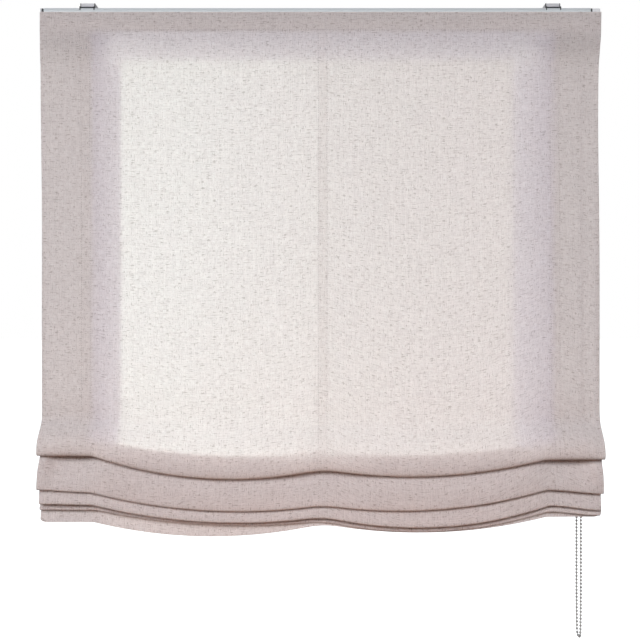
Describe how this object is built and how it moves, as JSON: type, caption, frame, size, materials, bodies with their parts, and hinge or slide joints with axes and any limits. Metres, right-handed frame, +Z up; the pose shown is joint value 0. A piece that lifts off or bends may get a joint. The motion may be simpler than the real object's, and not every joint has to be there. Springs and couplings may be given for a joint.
{
  "type": "roman blind",
  "caption": "Soft roman blind, half raised: a translucent cloth panel gathered in loose folds on lift cords under an aluminium headrail with ceiling clips and a bead-chain drive.",
  "frame": {"origin": "on the ceiling plane, midway between the two bracket screws", "axes": "+X to the right seen from the room, +Y towards the window, +Z up"},
  "size_m": [0.95, 0.0648, 1.0828],
  "materials": {
    "rail_aluminium": "satin anodised, drawn along its length",
    "cap_grey": "fine moulded texture",
    "cap_white": "fine moulded texture",
    "bracket_steel": "bright zinc plated",
    "clip_steel": "spring steel, plain",
    "hook_tape": "hook side of hook-and-loop tape",
    "loop_tape": "loop side of hook-and-loop tape",
    "shaft_steel": "cold drawn, zinc plated",
    "white_plastic": "moulded, slightly glossy",
    "clear_grey_plastic": "moulded, satin",
    "dark_plastic": "moulded, satin",
    "spring_steel": "bright wire",
    "lift_cord": "braided polyester",
    "lift_tape": "woven tape",
    "cloth": "translucent plain weave with slubs, linen look",
    "chain_steel": "nickel-plated beads"
  },
  "bodies": {
    "headrail": {"headrail": "rail_aluminium", "end_cap_left": "cap_grey", "end_cap_right": "cap_white", "bracket_left": "bracket_steel", "bracket_right": "bracket_steel", "bracket_clip_left": "clip_steel", "bracket_clip_right": "clip_steel", "hook_strip": "hook_tape", "loop_strip": "loop_tape", "cradle_left": "clear_grey_plastic", "cradle_centre": "clear_grey_plastic", "cradle_right": "clear_grey_plastic", "drive_housing": "white_plastic", "lift_cord_left": "lift_cord", "lift_cord_centre": "lift_cord", "lift_cord_right": "lift_cord", "lift_tape_left": "lift_tape", "lift_tape_centre": "lift_tape", "lift_tape_right": "lift_tape", "fabric_panel": "cloth", "bead_chain": "chain_steel"},
    "drive_train": {"drive_shaft": "shaft_steel", "shaft_bush": "white_plastic", "drum_left": "white_plastic", "drum_centre": "white_plastic", "drum_right": "white_plastic", "chain_wheel": "white_plastic", "clutch_springs": "spring_steel", "clutch_hub": "dark_plastic"},
    "gathered_folds": {"fabric_folds": "cloth", "cord_stop_left": "white_plastic", "cord_stop_centre": "white_plastic", "cord_stop_right": "white_plastic"}
  },
  "joints": [
    {"name": "blind_lift", "type": "slide", "parent": "headrail", "child": "gathered_folds", "axis": [0, 0, 1], "range_m": [-0.58, 0.55], "deforming": ["fabric_panel", "lift_tape_left", "lift_tape_centre", "lift_tape_right", "lift_cord_left", "lift_cord_centre", "lift_cord_right"]},
    {"name": "drive_turn", "type": "hinge", "parent": "headrail", "child": "drive_train", "pos_m": [0, 0.0035, -0.035], "axis": [1, 0, 0], "range_deg": [-2870, 3025]}
  ],
  "couplings": [
    {"joint": "drive_turn", "follows": "blind_lift", "rad_per_m": -90.909}
  ]
}
